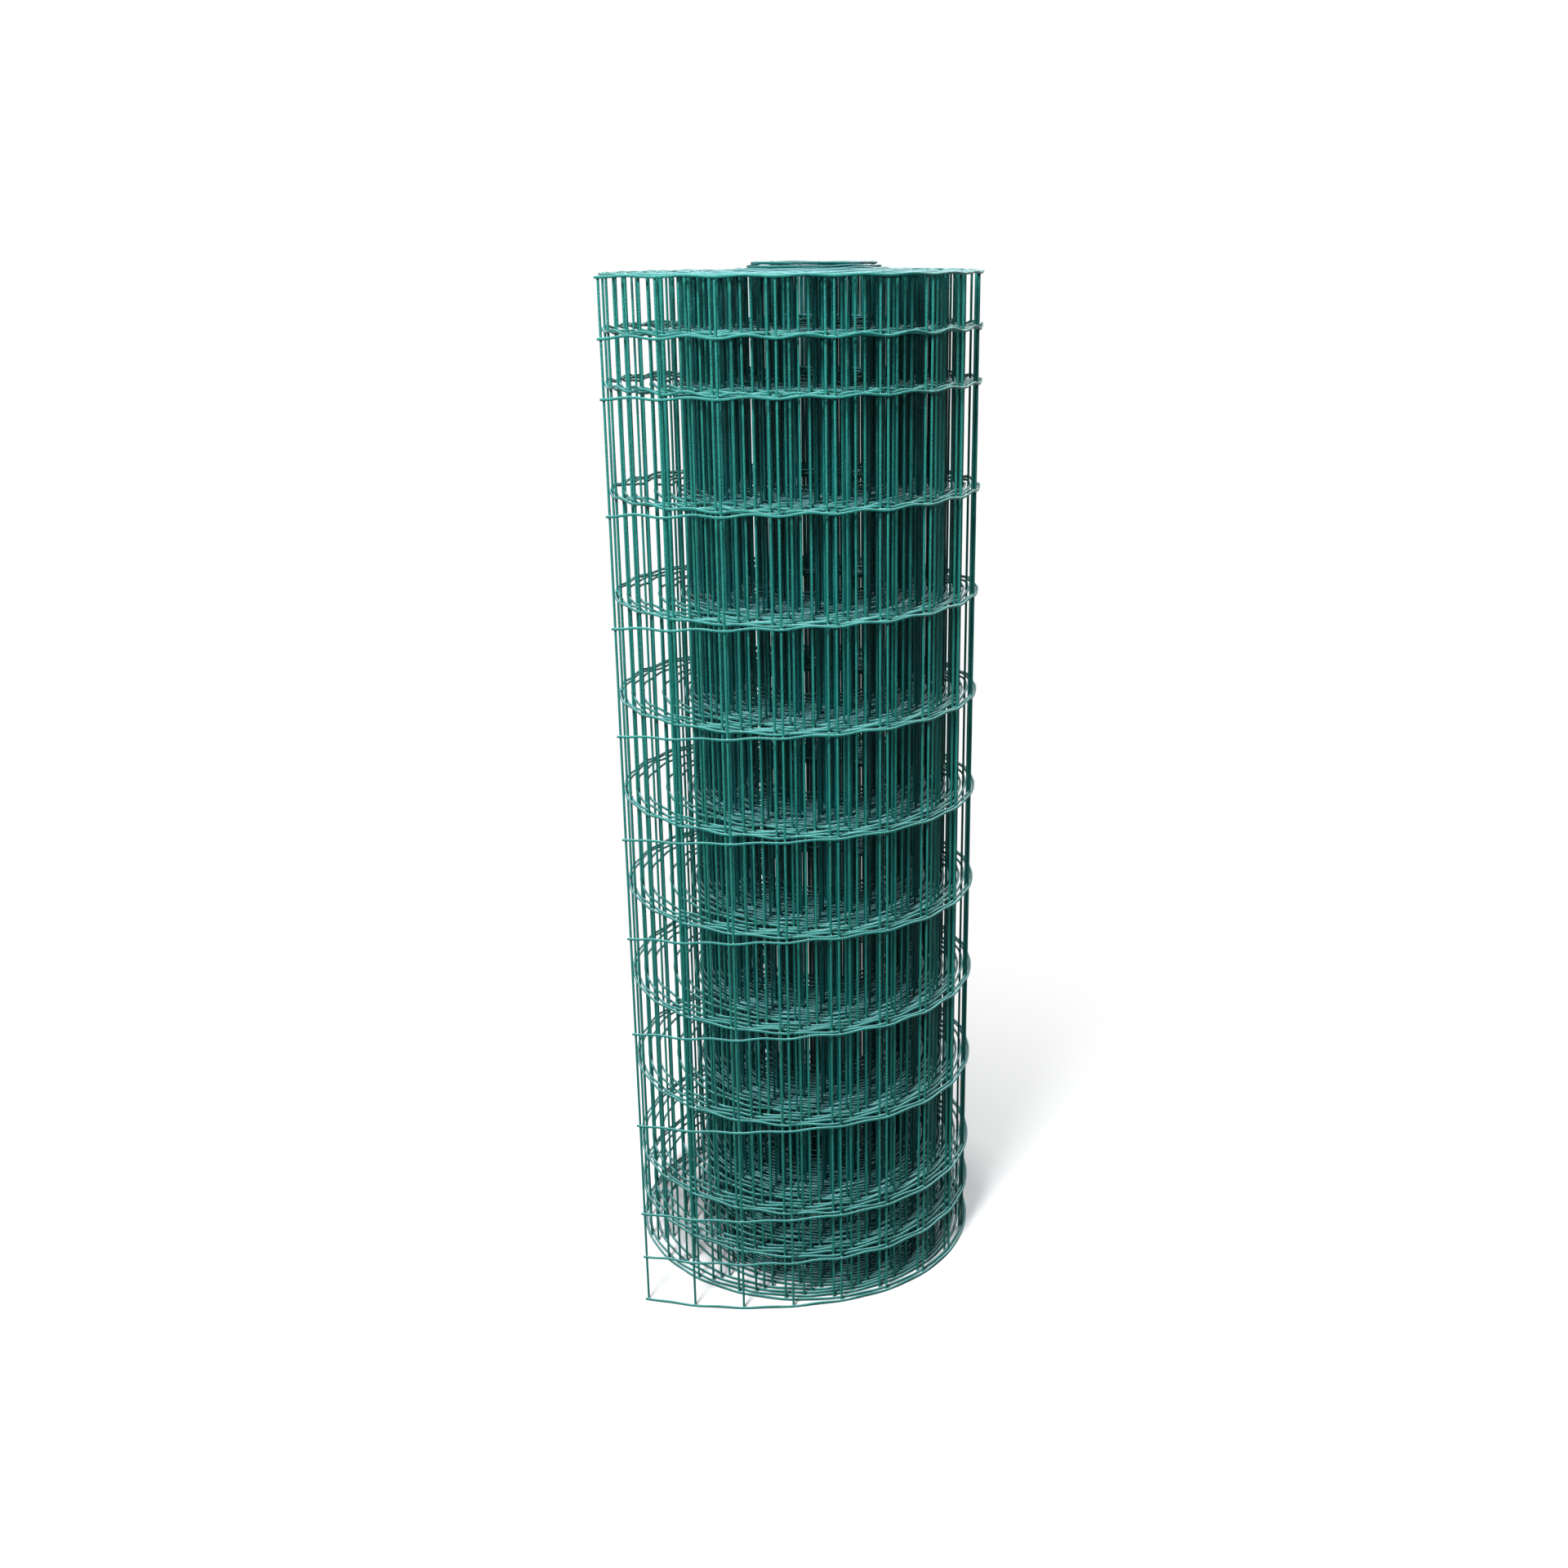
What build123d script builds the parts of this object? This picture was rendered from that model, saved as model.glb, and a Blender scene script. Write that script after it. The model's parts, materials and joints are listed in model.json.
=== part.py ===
"""A roll of welded wire fencing, standing on its end with its free end sprung open."""

import os
from itertools import accumulate
from math import cos, degrees, radians, sin

from build123d import *

# Wire and mesh, in millimetres
wire_diameter = 2.4
weld_depth = 0.4  # how far two wires sink into each other at a weld
edge_row_gap = 50.0  # between line wires along the two edges of the fence
field_row_gap = 100.0  # between line wires in the field of the fence
edge_rows = 2
field_rows = 8
stay_spacing = 50.0

# Roll: a core that has slid up out of the top, then tight turns, then turns sprung out to one side
bore_radius = 50.0
core_radius = 64.0
tight_radius = 134.0  # crest of the last tight turn
roll_radius = 178.0  # middle of the outermost turn
shift_left = 21.7  # from the bore's axis to the centre of the outermost turn, towards -X
shift_back = 10.0  # the same, towards +Y
core_lift = 8.0
turn_relief = 8.0  # depth of the ends between the crests
core_crests = 2  # shown on the ends, each for a few turns of the sheet
tight_crests = 5
loose_crests = 2  # the last is the outermost turn

# Free end: the last of the sheet, which leaves the roll on a flatter curve
free_end_angle = -74.0  # where it leaves the roll, from +X
free_end_radius = 367.0
free_end_length = 214.0
free_end_stays = 4
root_sink = 0.6  # how far its wires start inside the outermost turn

wire_radius = wire_diameter / 2
row_gaps = [edge_row_gap] * edge_rows + [field_row_gap] * field_rows + [edge_row_gap] * edge_rows
row_heights = list(accumulate(row_gaps, initial=wire_radius))
row_planes = [Plane.XY.offset(height - wire_radius) for height in row_heights]
fence_height = row_heights[-1] + wire_radius
head_floor = fence_height - turn_relief

# Radii of the crests and of the grooves between them, from the bore outwards
half_core_pitch = (core_radius - bore_radius) / (2 * core_crests - 1)
half_tight_pitch = (tight_radius - core_radius) / (2 * tight_crests - 1)
core_radii = [bore_radius + half_core_pitch * step for step in range(2 * core_crests)]
tight_radii = [core_radius + half_tight_pitch * step for step in range(2 * tight_crests + 1)]
tight_edge = tight_radii[-1]

# Section of the core and the tight turns: crests on the foot, and on the head with its lifted core
foot = [(radius, step % 2 * turn_relief) for step, radius in enumerate(core_radii)]
foot += [(radius, (step + 1) % 2 * turn_relief) for step, radius in enumerate(tight_radii)][1:]
head = [(radius, fence_height + core_lift - step % 2 * turn_relief) for step, radius in enumerate(core_radii)]
head += [(radius, fence_height - (step + 1) % 2 * turn_relief) for step, radius in enumerate(tight_radii)]

# Loose turns, each with its radius and its centre
loose_pitch = (roll_radius - tight_radius) / loose_crests
loose_turns = []
for turn in range(1, loose_crests + 1):
    centre = (-shift_left * turn / loose_crests, shift_back * turn / loose_crests)
    loose_turns.append((tight_radius + loose_pitch * turn, centre))
roll_centre = loose_turns[-1][1]
body_radius = roll_radius - wire_radius + weld_depth

# The free end's curve touches the outermost turn where it leaves it
free_end_reach = roll_radius - root_sink - free_end_radius
free_end_centre = (
    free_end_reach * cos(radians(free_end_angle)) + roll_centre[0],
    free_end_reach * sin(radians(free_end_angle)) + roll_centre[1],
)
free_end_sweep = degrees(free_end_length / free_end_radius)
stay_step = degrees(stay_spacing / free_end_radius)
stay_radius = free_end_radius - wire_diameter + weld_depth


def turn_plane(centre):
    """Upright plane through a turn's own axis, which is the plane's Y."""
    return Plane(origin=(*centre, 0), x_dir=(1, 0, 0), z_dir=(0, -1, 0))


def turn_axis(centre):
    """Axis of a turn."""
    return Axis(origin=(*centre, 0), direction=(0, 0, 1))


with BuildPart() as fence_roll:
    # Core and tight turns, turned in one with the bore
    with BuildSketch(Plane.XZ):
        with BuildLine():
            Polyline(*foot, *reversed(head), close=True)
        make_face()
    revolve(axis=Axis.Z)

    # Loose turns round them, between the two ends
    with BuildSketch(Plane.XY.offset(turn_relief)):
        with Locations(roll_centre):
            Circle(body_radius)
        Circle(tight_edge, mode=Mode.SUBTRACT)
    extrude(amount=head_floor - turn_relief)

    # Crests of the loose turns inside the outermost one
    for radius, centre in loose_turns[:-1]:
        with BuildSketch(turn_plane(centre)):
            for floor, crest in ((turn_relief, 0), (head_floor, fence_height)):
                with BuildLine():
                    Polyline(
                        (radius - wire_diameter, floor),
                        (radius, crest),
                        (radius + wire_diameter, floor),
                        close=True,
                    )
                make_face()
        revolve(axis=turn_axis(centre))

    # Edges of the outermost turn, which the roll stands on
    with BuildSketch(Plane.XY, Plane.XY.offset(head_floor)):
        with Locations(roll_centre):
            Circle(roll_radius + wire_radius)
            Circle(roll_radius - wire_radius, mode=Mode.SUBTRACT)
    extrude(amount=turn_relief)

    # Line wires round the outermost turn
    with BuildSketch(turn_plane(roll_centre)):
        for height in row_heights[1:-1]:
            with BuildLine():
                Polyline(
                    (roll_radius - wire_radius, height - wire_diameter),
                    (roll_radius + wire_radius, height),
                    (roll_radius - wire_radius, height + wire_diameter),
                    close=True,
                )
            make_face()
    revolve(axis=turn_axis(roll_centre))

    # Free end: its line wires, then its stays on their inner side
    with BuildSketch(*row_planes):
        with BuildLine():
            CenterArc(free_end_centre, free_end_radius, free_end_angle, -free_end_sweep)
        trace(line_width=wire_diameter)
    extrude(amount=wire_diameter)
    with BuildSketch(Plane.XY):
        with Locations(free_end_centre):
            with PolarLocations(
                stay_radius,
                free_end_stays,
                start_angle=free_end_angle - free_end_sweep,
                angular_range=stay_step * free_end_stays,
            ):
                Rectangle(wire_diameter, wire_diameter)
    extrude(amount=fence_height)

fence_roll.part.label = "fence_roll"

os.makedirs("parts", exist_ok=True)
export_step(fence_roll.part, "parts/fence_roll.step")
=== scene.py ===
import json
import math

import bpy
import numpy as np
from mathutils import Matrix, Vector


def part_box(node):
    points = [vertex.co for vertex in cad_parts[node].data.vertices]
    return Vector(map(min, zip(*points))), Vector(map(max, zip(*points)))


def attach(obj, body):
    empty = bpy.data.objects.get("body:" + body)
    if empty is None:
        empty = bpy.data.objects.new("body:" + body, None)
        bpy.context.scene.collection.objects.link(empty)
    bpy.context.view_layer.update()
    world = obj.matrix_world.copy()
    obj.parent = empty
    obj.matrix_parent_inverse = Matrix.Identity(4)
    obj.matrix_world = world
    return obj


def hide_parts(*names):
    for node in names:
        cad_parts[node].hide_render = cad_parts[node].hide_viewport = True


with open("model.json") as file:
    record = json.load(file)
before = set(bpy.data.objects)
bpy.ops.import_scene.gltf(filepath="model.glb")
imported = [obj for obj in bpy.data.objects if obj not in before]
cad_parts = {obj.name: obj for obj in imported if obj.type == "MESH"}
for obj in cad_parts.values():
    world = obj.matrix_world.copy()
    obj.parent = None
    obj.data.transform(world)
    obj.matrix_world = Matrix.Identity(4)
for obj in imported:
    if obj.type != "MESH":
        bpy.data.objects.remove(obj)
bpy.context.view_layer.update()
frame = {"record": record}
rollLow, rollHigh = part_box("fence_roll")
mounts = {mount["name"]: mount for mount in frame["record"]["mounts"]}
mmPerMetre = 1000
boreRadius = mounts["core_bore"]["dims"]["r_mm"] / mmPerMetre

bpy.ops.object.select_all(action="DESELECT")


# the mesh that the fence is welded from, in metres
mesh = {
    "wire": 0.0024,  # over the plastic coat
    "sink": 0.0004,  # how far two wires sink into each other at a weld
    "rowGaps": [0.05] * 2 + [0.1] * 8 + [0.05] * 2,  # line wire to line wire, from the floor up
    "staySpacing": 0.05032,
    "stub": 0.0022,  # line wire past the end stay
    "stepsPerCell": 8,
    "roundness": 2,  # gives a wire eight sides
    "smoothUnder": math.radians(50),
}
wireRadius = mesh["wire"] / 2
layerDepth = mesh["wire"] - mesh["sink"]  # line wire's middle to stay's middle
rowHeights = wireRadius + np.concatenate([[0], np.cumsum(mesh["rowGaps"])])
fenceHeight = rowHeights[-1] + wireRadius


# how the sheet lies in the roll, from its free end to its inner end
roll = {
    "boxDigits": 4,  # the frame's facets lie a little inside the true circle, so its box is rounded
    "boreRoom": 0.0005,  # between the inner end and the bore
    "tightTurns": 18.9,  # from the loose turns in to the bore
    "breath": 0.00032,  # the sheet is wound a little tighter and looser by turns
    "breathTurns": 2.66,
    "breathStart": -0.6,
    "freeAngle": -74,  # where the free end leaves the roll, in degrees from +X
    "freeRadius": 0.367,
    "freeLength": 0.214,
    "settleTurns": 0.6,  # no unevenness where the free end leaves
    "outOfRound": 0.0002,
    "lobes": [
        {"count": 3, "start": 0.7, "perTurn": 0},
        {"count": 5, "start": 1.9, "perTurn": 0.35},
    ],
    "lean": 0.0003,
    "unevenHeight": 0.0006,
    "sag": 0.0036,  # how far the top edge hangs lower on its right side
    "sagFrom": 0.8,  # height above which the rows follow it
    "sampling": 0.0005,  # step in turns, and in metres along the sheet
}
innerRadius = boreRadius + layerDepth + wireRadius + roll["boreRoom"]
outerRadius = round((rollHigh.x - rollLow.x) / 2 - wireRadius, roll["boxDigits"])
outerX = round((rollHigh.x + rollLow.x) / 2, roll["boxDigits"])
outerY = round(rollHigh.y - wireRadius - outerRadius, roll["boxDigits"])

# how far the outermost turn reaches to each side of the bore's axis,
# and the millimetres from one loose turn to the next there, from the outside in
# (a search fitted these gaps, the tight turns, the breath and the stay spacing to the photo)
sides = {
    "right": {"angle": 0, "reach": outerRadius + outerX, "gaps": [2.9] + [5.4] * 2 + [3.8] * 3},
    "back": {"angle": 90, "reach": outerRadius + outerY, "gaps": [4.6] * 2 + [12.5] * 2 + [7.1] * 2},
    "left": {"angle": 180, "reach": outerRadius - outerX, "gaps": [3.4, 8.5, 9.9, 21.5, 10.1, 12.5]},
    "front": {"angle": -90, "reach": outerRadius - outerY, "gaps": [5.6] * 3 + [6.0] * 3},
}
looseTurns = len(sides["left"]["gaps"])

# the inner turns have slid up, a little more at each of these steps: from one radius in to the next
slides = [
    {"from": 0.098, "to": 0.066, "height": 0.0032},
    {"from": 0.0655, "to": 0.0640, "height": 0.0025},
    {"from": 0.0610, "to": 0.0595, "height": 0.0028},
]

# slow unevenness along the sheet is these waves added up, each kind from its own start
uneven = {
    "waves": [
        {"size": 1.0, "perTurn": 0.37, "phase": 1.0},
        {"size": 0.7, "perTurn": 1.21, "phase": 2.1},
        {"size": 0.5, "perTurn": 2.83, "phase": 3.7},
    ],
    "starts": {"leanX": 0.4, "leanY": 2.2, "height": 1.3},
}


def wander(turn, kind):  # between -1 and 1
    start = uneven["starts"][kind]
    total = sum(
        wave["size"] * np.sin(2 * math.pi * turn * wave["perTurn"] + start * wave["phase"])
        for wave in uneven["waves"]
    )
    return total / sum(wave["size"] for wave in uneven["waves"])


def freeEndRun():  # arc that touches the outermost turn where it leaves it
    leaves = math.radians(roll["freeAngle"])
    sweep = roll["freeLength"] / roll["freeRadius"]
    angles = np.arange(leaves - sweep, leaves, roll["sampling"] / roll["freeRadius"])
    outwards = np.array([math.cos(leaves), math.sin(leaves)])
    centre = [outerX, outerY] + outwards * (outerRadius - roll["freeRadius"])
    return centre + roll["freeRadius"] * np.c_[np.cos(angles), np.sin(angles)]


def reachAt(turn, name):  # reach to one side: through the loose turns, then evenly in to the bore
    side = sides[name]
    first = (side["angle"] - roll["freeAngle"]) / 360
    turns = first + np.arange(looseTurns + 1)
    reach = side["reach"] - np.concatenate([[0], np.cumsum(side["gaps"])]) / mmPerMetre
    return np.interp(turn, [*turns, turns[-1] + roll["tightTurns"]], [*reach, innerRadius])


def rolledRun():  # from the outermost turn to the bore
    turn = np.arange(0, looseTurns + roll["tightTurns"], roll["sampling"])
    right, back, left, front = (reachAt(turn, name) for name in ("right", "back", "left", "front"))
    angle = math.radians(roll["freeAngle"]) + 2 * math.pi * turn
    settle = np.clip(turn / roll["settleTurns"], 0, 1)
    swell = roll["breath"] * np.sin(2 * math.pi * turn / roll["breathTurns"] + roll["breathStart"])
    for lobe in roll["lobes"]:
        bulge = np.sin(lobe["count"] * angle + lobe["start"] + lobe["perTurn"] * turn)
        swell = swell + roll["outOfRound"] * bulge
    x = (right - left) / 2 + ((right + left) / 2 + settle * swell) * np.cos(angle)
    y = (back - front) / 2 + ((back + front) / 2 + settle * swell) * np.sin(angle)
    return turn, np.c_[x, y]


def sheetPlan():  # plan of the sheet in even steps along it
    freeEnd = freeEndRun()
    turn, rolled = rolledRun()
    run = np.vstack([freeEnd, rolled])
    along = np.concatenate([[0], np.cumsum(np.linalg.norm(np.diff(run, axis=0), axis=1))])
    even = np.arange(0, along[-1], roll["sampling"])
    plan = {"along": even, "length": along[-1]}
    plan["turn"] = np.interp(even, along, np.concatenate([np.zeros(len(freeEnd)), turn]))
    plan["x"] = np.interp(even, along, run[:, 0])
    plan["y"] = np.interp(even, along, run[:, 1])
    plan["inX"] = -np.gradient(plan["y"], even)  # unit step towards the core
    plan["inY"] = np.gradient(plan["x"], even)
    plan["radius"] = np.hypot(plan["x"], plan["y"])
    print(f"sheet: {along[-1]:.2f} m in {turn[-1]:.1f} turns")
    return plan


plan = sheetPlan()


def planAt(along, name):
    return np.interp(along, plan["along"], plan[name])


def sheetPoints(along, height, inward=0.0):  # from distances along the sheet and heights on it
    turn = planAt(along, "turn")
    radius = planAt(along, "radius")
    inX = planAt(along, "inX")
    inY = planAt(along, "inY")
    past = np.minimum(along, 0)  # past the free end a wire goes straight on
    settle = np.clip(turn, 0, 1)
    leaning = roll["lean"] * settle * (height / fenceHeight - 0.5)  # about the middle of its height
    x = planAt(along, "x") + inX * inward + inY * past + wander(turn, "leanX") * leaning
    y = planAt(along, "y") + inY * inward - inX * past + wander(turn, "leanY") * leaning
    lift = (1 + wander(turn, "height")) * roll["unevenHeight"] * settle
    for slide in slides:
        share = np.clip((slide["from"] - radius) / (slide["from"] - slide["to"]), 0, 1)
        lift = lift + slide["height"] * share
    across = np.clip((x - rollLow.x) / (rollHigh.x - rollLow.x), 0, 1)
    above = np.clip((height - roll["sagFrom"]) / (fenceHeight - roll["sagFrom"]), 0, 1)
    lift = lift - roll["sag"] * across * above
    return np.stack(np.broadcast_arrays(x, y, height + lift), axis=-1)


# shader sockets as numbers
class Shade:
    def __init__(self, tree, socket=None):
        self.tree, self.socket = tree, socket

    # any node: its settings come first, then the values or links of its sockets
    def node(self, kind, settings=None, inputs=None, output=0):
        made = self.tree.nodes.new(kind)
        for name, value in (settings or {}).items():
            setattr(made, name, value)
        for name, value in (inputs or {}).items():
            if isinstance(value, Shade):
                self.tree.links.new(value.socket, made.inputs[name])
            else:
                made.inputs[name].default_value = value
        return Shade(self.tree, made.outputs[output])

    def maths(self, operation, first, second):
        return self.node("ShaderNodeMath", {"operation": operation}, {0: first, 1: second})

    def __add__(self, other):
        return self.maths("ADD", self, other)

    def __sub__(self, other):
        return self.maths("SUBTRACT", self, other)

    def __rsub__(self, other):
        return self.maths("SUBTRACT", other, self)

    def __mul__(self, other):
        return self.maths("MULTIPLY", self, other)

    __radd__ = __add__

    def clamp(self):
        return self.node("ShaderNodeClamp", None, {"Value": self})

    def mix(self, first, second):  # this number is the share of the second colour
        return self.node("ShaderNodeMix", {"data_type": "RGBA"}, {0: self, 6: first, 7: second}, 2)

    def feed(self, socket):
        self.tree.links.new(self.socket, socket)


def newMaterial(name):
    material = bpy.data.materials.new(name)
    material.use_nodes = True
    return material, material.node_tree.nodes["Principled BSDF"], Shade(material.node_tree)


# dark green plastic coat in random patches of tone, with painted shade that darkens the inner turns
# of the roll and a painted highlight on what faces up
coat = {
    # deep is the green of the inner turns in painted shade, fresh that of the outer turns; random
    # tone mixes the two as well
    "deep": (0.0008, 0.060, 0.061, 1),
    "fresh": (0.015, 0.170, 0.142, 1),
    "shadeFadeFrom": 0.12,  # distance from the bore's axis inside which the turns get full painted shade
    "shadeFadeOver": 0.025,
    "outOfShadeShare": 0.7,
    "toneScale": 38.0,  # patches a few centimetres across
    "toneDetail": 3.0,
    "toneShare": 0.9,
    "toneStart": 0.4,
    # painted highlight: a pale blue-green on the tops of the wires, standing in for light from above
    "paintedHighlight": (0.27, 0.52, 0.55, 1),
    "highlightFrom": 0.75,  # upright part of the normal above which the painted highlight shows
    "highlightShare": 0.8,
    "highlightEven": 0.6,
    "highlightPatches": 0.8,
    "lumpScale": 620.0,
    "lumpDetail": 2.0,
    "lumpHeight": 0.001,
    "lumpStrength": 1.0,
    "roughness": 0.52,
    "lumpGloss": 0.30,
    "specular": 0.11,
}


def coatMaterial():
    material, surface, shade = newMaterial("greenCoat")
    place = shade.node("ShaderNodeTexCoord", None, None, "Object")
    tones = {"Vector": place, "Scale": coat["toneScale"], "Detail": coat["toneDetail"]}
    tone = shade.node("ShaderNodeTexNoise", None, tones, "Fac")
    lumps = {"Vector": place, "Scale": coat["lumpScale"], "Detail": coat["lumpDetail"]}
    lump = shade.node("ShaderNodeTexNoise", None, lumps, "Fac")

    # painted shade: by distance from the bore's axis, the inner turns are mixed towards the deep
    # green, standing in for the shade inside the roll
    flat = shade.node("ShaderNodeVectorMath", {"operation": "MULTIPLY"}, {0: place, 1: (1, 1, 0)})
    radius = shade.node("ShaderNodeVectorMath", {"operation": "LENGTH"}, {0: flat}, "Value")
    outOfShade = ((radius - coat["shadeFadeFrom"]) * (1 / coat["shadeFadeOver"])).clamp()
    fresh = (outOfShade * coat["outOfShadeShare"] + tone * coat["toneShare"] - coat["toneStart"]).clamp()
    green = fresh.mix(coat["deep"], coat["fresh"])

    # painted highlight: what faces up is mixed towards a pale blue-green, in patches, as if lit from
    # above
    facing = shade.node("ShaderNodeNewGeometry", None, None, "Normal")
    upright = shade.node("ShaderNodeSeparateXYZ", None, {0: facing}, "Z")
    upward = ((upright - coat["highlightFrom"]) * (1 / (1 - coat["highlightFrom"]))).clamp()
    patches = coat["highlightEven"] + tone * coat["highlightPatches"]
    highlighted = (upward * coat["highlightShare"] * patches).clamp().mix(green, coat["paintedHighlight"])

    highlighted.feed(surface.inputs["Base Color"])
    (coat["roughness"] - lump * coat["lumpGloss"]).feed(surface.inputs["Roughness"])
    bumps = {"Strength": coat["lumpStrength"], "Distance": coat["lumpHeight"], "Height": lump}
    shade.node("ShaderNodeBump", None, bumps).feed(surface.inputs["Normal"])
    surface.inputs["Specular IOR Level"].default_value = coat["specular"]
    return material


greenCoat = coatMaterial()
print("material: green coat")


def keepPiece(piece):  # what every part of the fence has in common
    piece.data.materials.clear()
    piece.data.materials.append(greenCoat)
    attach(piece, "root")
    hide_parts("fence_roll")


def drawWires(name, runs):  # round wires along runs of points, as one mesh
    curve = bpy.data.curves.new(name, "CURVE")
    curve.dimensions = "3D"
    curve.bevel_depth = wireRadius
    curve.bevel_resolution = mesh["roundness"]
    curve.use_fill_caps = True
    for run in runs:
        spline = curve.splines.new("POLY")
        spline.points.add(len(run) - 1)
        spline.points.foreach_set("co", np.c_[run, np.ones(len(run))].ravel())
    piece = bpy.data.objects.new(name, curve)
    bpy.context.collection.objects.link(piece)
    piece.select_set(True)
    bpy.context.view_layer.objects.active = piece
    bpy.ops.object.convert(target="MESH")
    bpy.ops.object.shade_smooth_by_angle(angle=mesh["smoothUnder"])
    keepPiece(piece)
    piece.select_set(False)
    return piece


# stays: upright wires on the inside of the line wires, none of them quite straight
stays = {
    "bow": 0.00005,
    "drift": 0.00015,
    "seed": 11,
}


def addStays():
    chance = np.random.default_rng(stays["seed"])
    between = (rowHeights[1:] + rowHeights[:-1]) / 2
    heights = np.sort(np.concatenate([[0], rowHeights[1:-1], between, [fenceHeight]]))
    places = np.arange(0, plan["length"], mesh["staySpacing"])
    runs = []
    for place in places:
        run = sheetPoints(np.full(len(heights), place), heights, layerDepth)
        run[:, :2] += chance.normal(0, stays["bow"], (len(heights), 2))
        run[:, :2] += chance.normal(0, stays["drift"], 2)
        runs.append(run)
    piece = drawWires("stays", runs)
    print(f"stays: {len(runs)}, {len(piece.data.polygons)} faces")
    return places


stayPlaces = addStays()


# line wires: on the outside of the stays, pressed into a wave that is lowest at each stay
lineWires = {
    "waveHeights": np.array([1.2] + [1.8] * 8 + [2.6] + [2.9] * 2 + [1.0]) / mmPerMetre,  # by row
    "heightSpread": 0.25,  # share by which they come and go
    "spreadAlong": 3.1,  # radians for a metre of the sheet
    "spreadByRow": 1.7,
    "calmRadius": 0.11,  # inside this the wave is pressed flatter
    "calmShare": 1 / 3,  # to this at the bore
}


def addLineWires():
    step = mesh["staySpacing"] / mesh["stepsPerCell"]
    along = np.concatenate([[-mesh["stub"]], np.arange(0, plan["length"], step)])
    wave = (1 - np.cos(2 * math.pi * along / mesh["staySpacing"])) / 2
    calmRadii = [boreRadius, lineWires["calmRadius"]]
    calm = np.interp(planAt(along, "radius"), calmRadii, [lineWires["calmShare"], 1])
    faces = 0
    for index, rowHeight in enumerate(rowHeights):
        run = sheetPoints(along, rowHeight)
        phase = along * lineWires["spreadAlong"] + index * lineWires["spreadByRow"]
        spread = 1 + lineWires["heightSpread"] * np.sin(phase)
        run[:, 2] += lineWires["waveHeights"][index] * wave * spread * calm
        piece = drawWires(f"line_wire_{index + 1:02d}", [run])
        faces += len(piece.data.polygons)
    print(f"line wires: {len(rowHeights)}, {faces} faces")


addLineWires()


# welds: the coat fills the corners where two wires cross
welds = {
    "across": 0.0016,
    "deep": 0.0023,
    "sides": 6,
    "rings": 4,
}


def addWelds(places):
    bpy.ops.mesh.primitive_uv_sphere_add(segments=welds["sides"], ring_count=welds["rings"], radius=1)
    bead = bpy.context.active_object
    shape = np.array([vertex.co for vertex in bead.data.vertices])
    faces = [list(face.vertices) for face in bead.data.polygons]
    bpy.data.objects.remove(bead)
    side, deep, up = shape[:, :1], shape[:, 1:2], shape[:, 2:]
    points, corners = [], []
    for rowHeight in rowHeights:
        middles = sheetPoints(places, rowHeight, layerDepth / 2)
        for middle, inX, inY in zip(middles, planAt(places, "inX"), planAt(places, "inY")):
            start = len(points) * len(shape)
            spot = side * welds["across"] * [inY, -inX, 0]
            spot = spot + deep * welds["deep"] * [inX, inY, 0] + up * welds["across"] * [0, 0, 1]
            points.append(middle + spot)
            corners += [[start + corner for corner in face] for face in faces]
    points = np.vstack(points)
    points[:, 2] = np.maximum(points[:, 2], 0)  # nothing reaches below the floor
    piece = bpy.data.objects.new("welds", bpy.data.meshes.new("welds"))
    piece.data.from_pydata(points.tolist(), [], corners)
    bpy.context.collection.objects.link(piece)
    piece.data.shade_smooth()
    keepPiece(piece)
    print(f"welds: {len(points) // len(shape)}, {len(corners)} faces")


addWelds(stayPlaces)


# plain pale floor, soft light from above, from the front left and from behind
studio = {
    "white": (1, 1, 1, 1),
    "floorColour": (0.86, 0.87, 0.88, 1),
    "floorBounce": (0.18, 0.19, 0.20, 1),  # what the floor throws back at the roll
    "floorRoughness": 0.9,
    "floorSpecular": 0.1,
    "floorSize": 40,
    "floorWhite": 0.35,  # share of plain white that the camera sees round the roll's foot
    "footFade": 0.06,  # from none of it under the roll
    "floorFadeOver": 0.55,  # to nothing but white further out
    "skyColour": (0.70, 0.88, 1.0, 1),
    "skyLight": 0.035,
    "lamps": [
        {"name": "topLight", "place": (-0.4, -0.7, 2.6), "size": 1.2, "power": 22},
        {"name": "keyLight", "place": (-0.7, -1.6, 2.0), "size": 0.65, "power": 95},
        {"name": "backLight", "place": (1.3, 1.3, 2.0), "size": 1.0, "power": 50},
    ],
    "aim": (0, 0, 0.5),
}


def seenRays(shade):  # rays that show the background: straight, mirrored or passed through
    rays = [
        shade.node("ShaderNodeLightPath", None, None, name)
        for name in ("Is Camera Ray", "Is Glossy Ray", "Is Transmission Ray")
    ]
    return (rays[0] + rays[1] + rays[2]).clamp()


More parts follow.
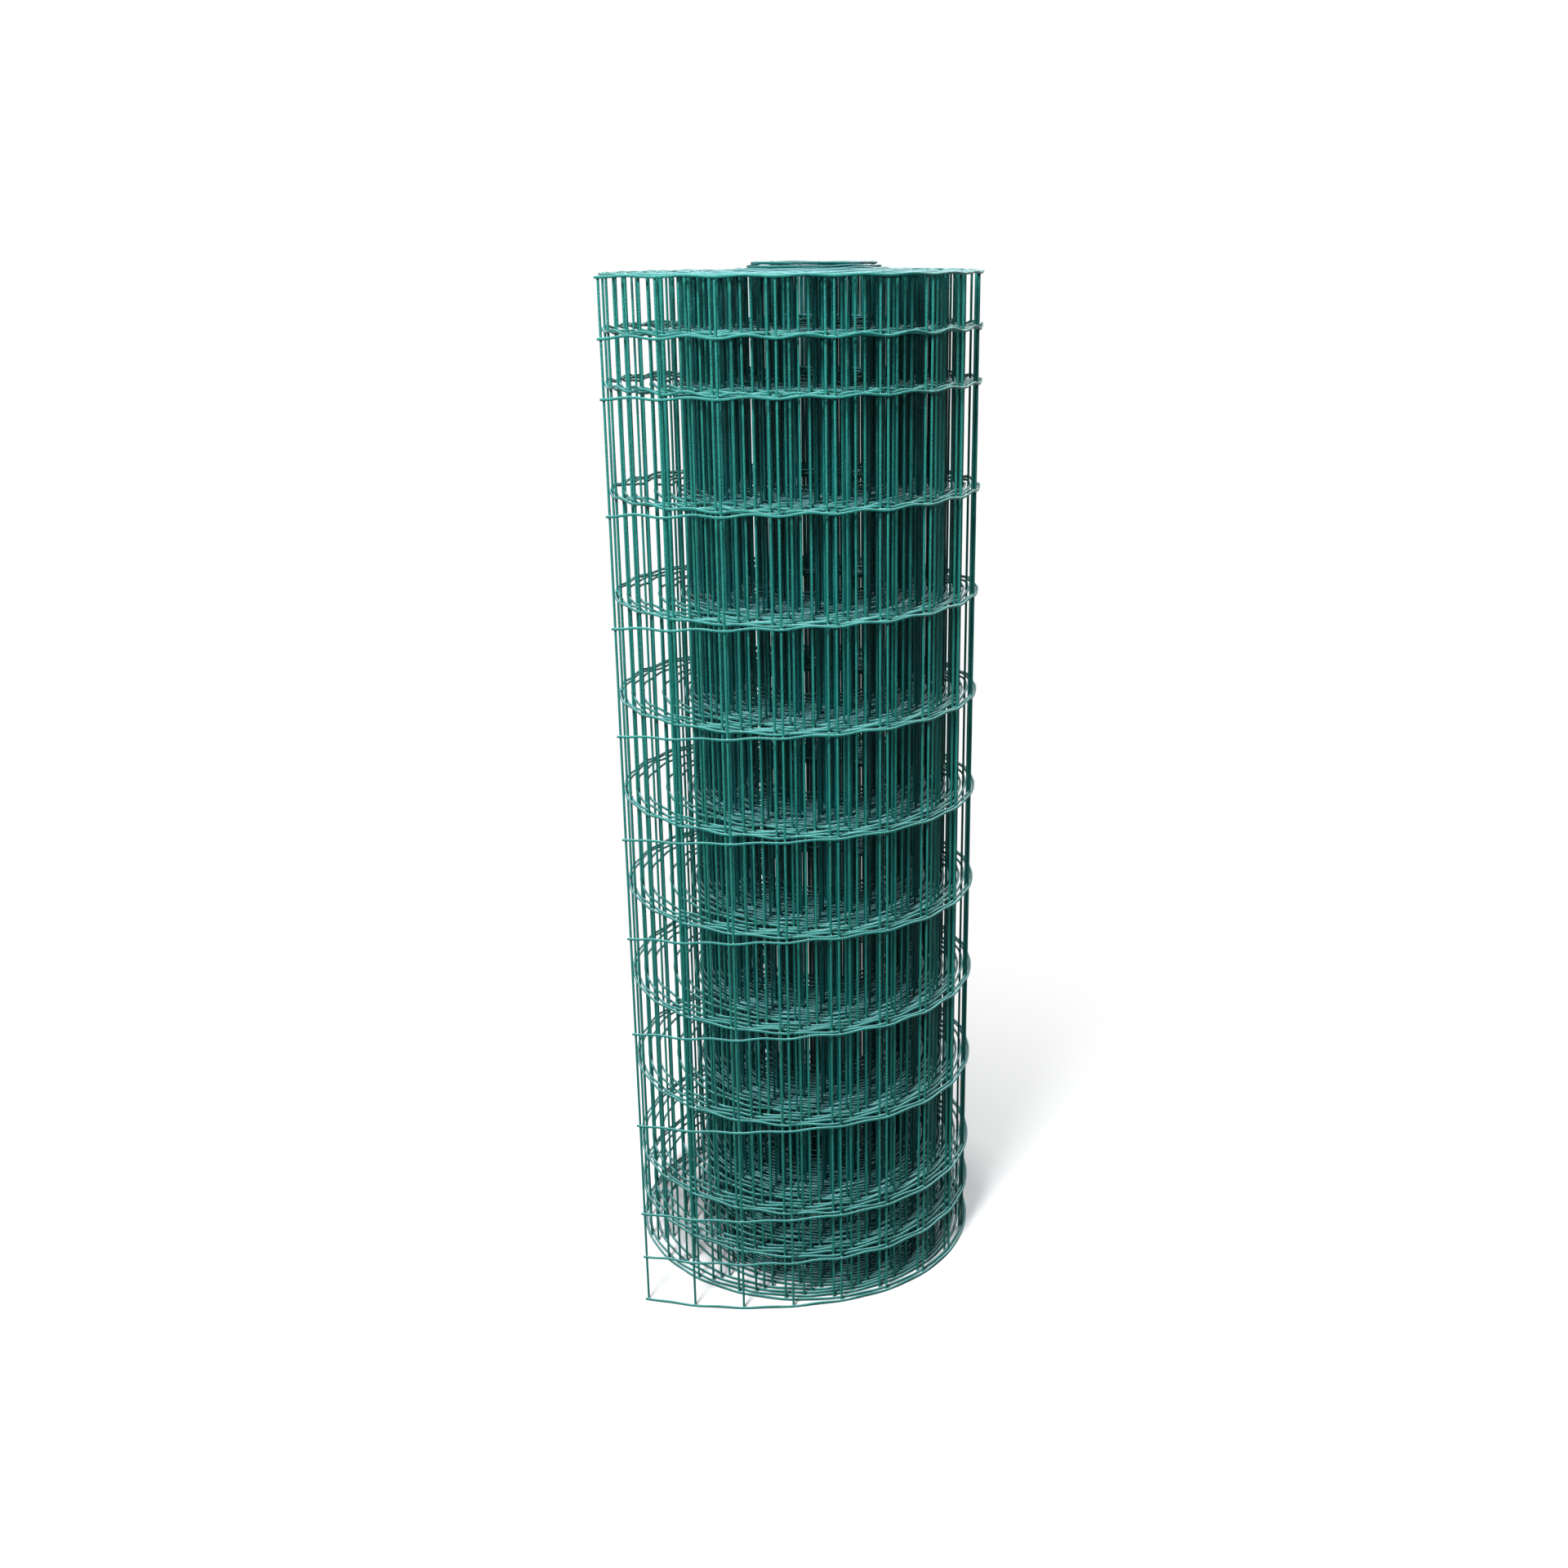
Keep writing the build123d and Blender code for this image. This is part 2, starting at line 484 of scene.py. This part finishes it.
def addFloor():
    bpy.ops.mesh.primitive_plane_add(size=studio["floorSize"])
    floor = bpy.context.active_object
    floor.name = "floor"
    material, surface, shade = newMaterial("paleFloor")
    seen = seenRays(shade)
    seen.mix(studio["floorBounce"], studio["floorColour"]).feed(surface.inputs["Base Color"])
    surface.inputs["Roughness"].default_value = studio["floorRoughness"]
    surface.inputs["Specular IOR Level"].default_value = studio["floorSpecular"]
    place = shade.node("ShaderNodeTexCoord", None, None, "Object")
    away = shade.node("ShaderNodeVectorMath", {"operation": "LENGTH"}, {0: place}, "Value")
    past = away - outerRadius
    near = (past * (1 / studio["footFade"])).clamp() * studio["floorWhite"]
    far = (past * (1 / studio["floorFadeOver"])).clamp() * (1 - studio["floorWhite"])
    white = shade.node("ShaderNodeEmission", None, {"Color": studio["white"], "Strength": 1.0})
    lit = Shade(shade.tree, surface.outputs[0])
    both = shade.node("ShaderNodeMixShader", None, {0: (near + far) * seen, 1: lit, 2: white})
    both.feed(shade.tree.nodes["Material Output"].inputs["Surface"])
    floor.data.materials.append(material)


def addWorld():
    world = bpy.data.worlds.new("studio")
    bpy.context.scene.world = world
    world.use_nodes = True
    shade = Shade(world.node_tree)
    background = world.node_tree.nodes["Background"]
    seen = seenRays(shade)
    seen.mix(studio["skyColour"], studio["white"]).feed(background.inputs["Color"])
    (seen * (1 - studio["skyLight"]) + studio["skyLight"]).feed(background.inputs["Strength"])


def addLamps():
    for lamp in studio["lamps"]:
        bpy.ops.object.light_add(type="AREA", location=lamp["place"])
        light = bpy.context.active_object
        light.name = lamp["name"]
        light.data.shape = "DISK"
        light.data.size = lamp["size"]
        light.data.energy = lamp["power"]
        aim = Vector(studio["aim"]) - light.location
        light.rotation_euler = aim.to_track_quat("-Z", "Y").to_euler()


addFloor()
addWorld()
addLamps()
print(f"studio: floor, sky and {len(studio['lamps'])} lamps")


# camera at the photo's place
view = {
    "lens": 37.487,
    "sensor": 36,
    "place": (-0.0167, -1.5846, 1.0181),
    "down": math.radians(18.03),
    "turn": math.radians(0.722),
    "roll": math.radians(-1.043),
}


def addCamera():
    bpy.ops.object.camera_add()
    camera = bpy.context.active_object
    camera.data.lens = view["lens"]
    camera.data.sensor_width = view["sensor"]
    camera.matrix_world = (
        Matrix.Translation(view["place"])
        @ Matrix.Rotation(view["turn"], 4, "Z")
        @ Matrix.Rotation(math.pi / 2 - view["down"], 4, "X")
        @ Matrix.Rotation(view["roll"], 4, "Z")
    )
    bpy.context.scene.camera = camera


addCamera()
bpy.context.scene.view_settings.view_transform = "Standard"
print(f"camera: {view['lens']:.1f} mm lens")
